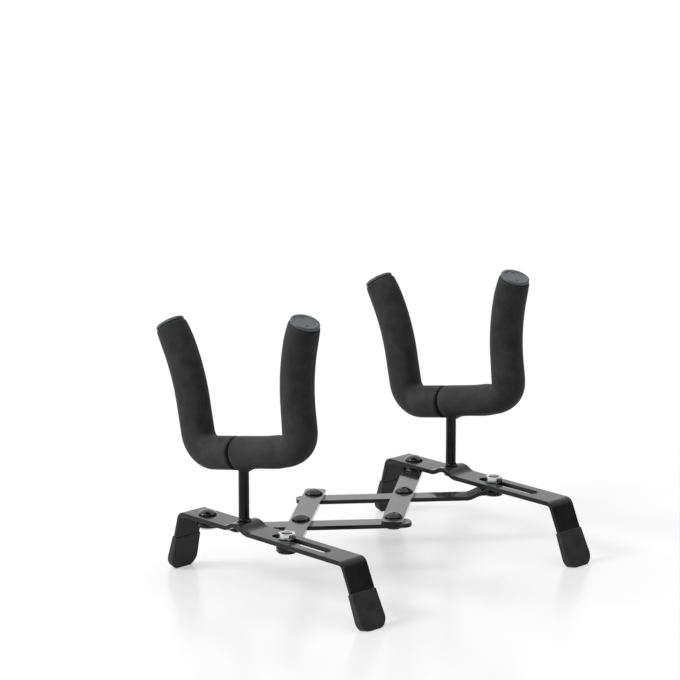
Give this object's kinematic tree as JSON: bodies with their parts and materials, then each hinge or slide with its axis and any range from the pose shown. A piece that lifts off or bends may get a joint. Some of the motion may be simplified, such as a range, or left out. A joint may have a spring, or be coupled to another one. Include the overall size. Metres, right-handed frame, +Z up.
{
  "type": "folding small instrument stand",
  "caption": "Low folding stand for a ukulele or violin: steel side frames with rubber boots and foam-sleeved cradle arms, joined by a lazy-tongs linkage that sets the width.",
  "frame": {"origin": "on the floor under the middle of the stand's outer box, as the stand is set up", "axes": "+Z up, the front faces -Y, the left side frame is at -X"},
  "size_m": [0.1678, 0.1576, 0.149],
  "materials": {
    "black_steel": "gloss black enamel",
    "bright_zinc": "bright zinc plate",
    "black_rubber": "matt moulded rubber",
    "grey_foam": "matt closed-cell foam",
    "grey_plastic": "satin moulding"
  },
  "bodies": {
    "left_side": {"left_base_strip": "black_steel", "left_front_foot": "black_rubber", "left_rear_foot": "black_rubber", "left_post": "black_steel", "left_post_rivet": "black_steel", "left_cradle_rod": "black_steel", "left_front_sleeve": "grey_foam", "left_rear_sleeve": "grey_foam", "left_front_plug": "grey_plastic", "left_rear_plug": "grey_plastic", "left_rear_bolt": "black_steel", "left_rear_washer": "bright_zinc", "left_rear_nut": "bright_zinc"},
    "left_lower_link": {"left_lower_link": "black_steel", "left_cross_rivet": "black_steel"},
    "left_upper_link": {"left_upper_link": "black_steel", "rear_middle_rivet": "black_steel", "left_slide_bolt": "black_steel", "left_slide_washer": "bright_zinc", "left_slide_nut": "bright_zinc"},
    "right_upper_link": {"right_upper_link": "black_steel", "right_cross_rivet": "black_steel", "front_middle_rivet": "black_steel"},
    "right_lower_link": {"right_lower_link": "black_steel", "right_slide_bolt": "black_steel", "right_slide_washer": "bright_zinc", "right_slide_nut": "bright_zinc"},
    "right_side": {"right_base_strip": "black_steel", "right_front_foot": "black_rubber", "right_rear_foot": "black_rubber", "right_post": "black_steel", "right_post_rivet": "black_steel", "right_cradle_rod": "black_steel", "right_front_sleeve": "grey_foam", "right_rear_sleeve": "grey_foam", "right_front_plug": "grey_plastic", "right_rear_plug": "grey_plastic", "right_rear_bolt": "black_steel", "right_rear_washer": "bright_zinc", "right_rear_nut": "bright_zinc"}
  },
  "joints": [
    {"name": "scissor_fold", "type": "hinge", "parent": "left_side", "child": "left_lower_link", "pos_m": [-0.075, 0.04499, 0.0274], "axis": [0, 0, 1], "range_deg": [-27.4, 4.9]},
    {"name": "left_cross", "type": "hinge", "parent": "left_lower_link", "child": "left_upper_link", "pos_m": [-0.0375, 0.01499, 0.02615], "axis": [0, 0, 1], "range_deg": [-9.8, 54.8]},
    {"name": "middle_pivot", "type": "hinge", "parent": "left_lower_link", "child": "right_upper_link", "pos_m": [0, -0.01501, 0.02615], "axis": [0, 0, 1], "range_deg": [-9.8, 54.8]},
    {"name": "right_cross", "type": "hinge", "parent": "right_upper_link", "child": "right_lower_link", "pos_m": [0.0375, 0.01499, 0.02615], "axis": [0, 0, 1], "range_deg": [-54.8, 9.8]},
    {"name": "right_side_pivot", "type": "hinge", "parent": "right_upper_link", "child": "right_side", "pos_m": [0.075, 0.04499, 0.0274], "axis": [0, 0, 1], "range_deg": [-27.4, 4.9]}
  ],
  "couplings": [
    {"joint": "left_cross", "follows": "scissor_fold", "ratio": -2},
    {"joint": "middle_pivot", "follows": "scissor_fold", "ratio": -2},
    {"joint": "right_cross", "follows": "scissor_fold", "ratio": 2},
    {"joint": "right_side_pivot", "follows": "scissor_fold", "ratio": 1}
  ]
}
